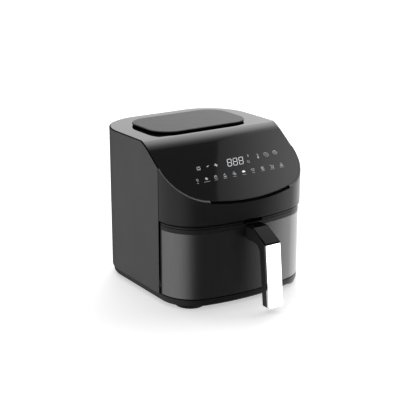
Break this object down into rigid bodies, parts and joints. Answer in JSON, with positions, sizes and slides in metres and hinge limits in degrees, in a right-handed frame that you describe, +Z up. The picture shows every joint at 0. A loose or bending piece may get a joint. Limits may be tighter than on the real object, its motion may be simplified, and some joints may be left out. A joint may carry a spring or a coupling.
{
  "type": "air fryer",
  "caption": "Basket-type countertop air fryer: sloped glossy touch panel, rounded charcoal shell, steel-fronted pull-out drawer and upright bar handle.",
  "frame": {"origin": "middle of the footprint, handle included, on the surface that the feet stand on", "axes": "+Y from the drawer's front to the back, +X to the appliance's right seen from the front, +Z up"},
  "size_m": [0.3, 0.393, 0.2993],
  "materials": {
    "charcoal_shell": "fine matt texture",
    "matte_black": "matt moulded plastic",
    "gloss_black": "polished black panel",
    "pad_satin": "satin painted lid",
    "dark_steel": "satin dark steel sheet",
    "chrome": "bright chrome trim",
    "plain_steel": "plain sheet steel",
    "coated_metal": "dark non-stick coating",
    "rubber": "moulded rubber",
    "silicone": "soft silicone",
    "circuit_board": "coated circuit board",
    "display_glass": "smoked display window",
    "ceramic": "unglazed ceramic"
  },
  "bodies": {
    "housing": {"base_pan": "matte_black", "body_wrap": "charcoal_shell", "front_bezel": "matte_black", "top_cover": "gloss_black", "inlet_pad": "pad_satin", "rear_grille": "matte_black", "cord_gland": "rubber", "mid_frame": "matte_black", "drawer_bay": "plain_steel", "drawer_rail_left": "matte_black", "drawer_rail_right": "matte_black", "chamber_liner": "plain_steel", "heat_shield": "plain_steel", "heating_element": "plain_steel", "heater_guard": "plain_steel", "motor_bracket": "plain_steel", "motor_body": "plain_steel", "exhaust_duct": "matte_black", "temperature_sensor": "plain_steel", "thermal_cutout": "ceramic", "control_board": "circuit_board", "display_module": "display_glass", "power_board": "circuit_board", "supply_wire": "silicone", "panel_harness": "silicone", "switch_body": "matte_black", "foot_front_left": "rubber", "base_screw_front_left": "plain_steel", "foot_front_right": "rubber", "base_screw_front_right": "plain_steel", "foot_rear_left": "rubber", "base_screw_rear_left": "plain_steel", "foot_rear_right": "rubber", "base_screw_rear_right": "plain_steel"},
    "rotor": {"motor_shaft": "plain_steel", "convection_fan": "plain_steel", "cooling_fan": "matte_black", "fan_nut": "plain_steel"},
    "drawer": {"drawer_frame": "matte_black", "drawer_skin": "dark_steel", "basket": "coated_metal", "basket_screw_left": "plain_steel", "basket_screw_right": "plain_steel", "handle_body": "matte_black", "handle_cap": "matte_black", "handle_trim": "chrome", "handle_screw_lower": "plain_steel", "handle_screw_upper": "plain_steel"},
    "crisper": {"crisper_plate": "coated_metal", "plate_bumper_front": "silicone", "plate_bumper_rear": "silicone", "plate_bumper_left": "silicone", "plate_bumper_right": "silicone"},
    "switch_lever": {"switch_lever": "plain_steel"}
  },
  "joints": [
    {"name": "drawer_slide", "type": "slide", "parent": "housing", "child": "drawer", "axis": [0, -1, 0], "range_m": [0, 0.27]},
    {"name": "crisper_lift", "type": "slide", "parent": "drawer", "child": "crisper", "axis": [0, 0, 1], "range_m": [0, 0.11]},
    {"name": "fan_spin", "type": "hinge", "parent": "housing", "child": "rotor", "pos_m": [0, 0.0375, 0.2], "axis": [0, 0, 1], "continuous": true},
    {"name": "lever_swing", "type": "hinge", "parent": "housing", "child": "switch_lever", "pos_m": [0, 0.147, 0.076], "axis": [-1, 0, 0], "range_deg": [0, 13]}
  ],
  "couplings": [
    {"joint": "lever_swing", "follows": "drawer_slide", "rad_per_m": 0.77}
  ]
}
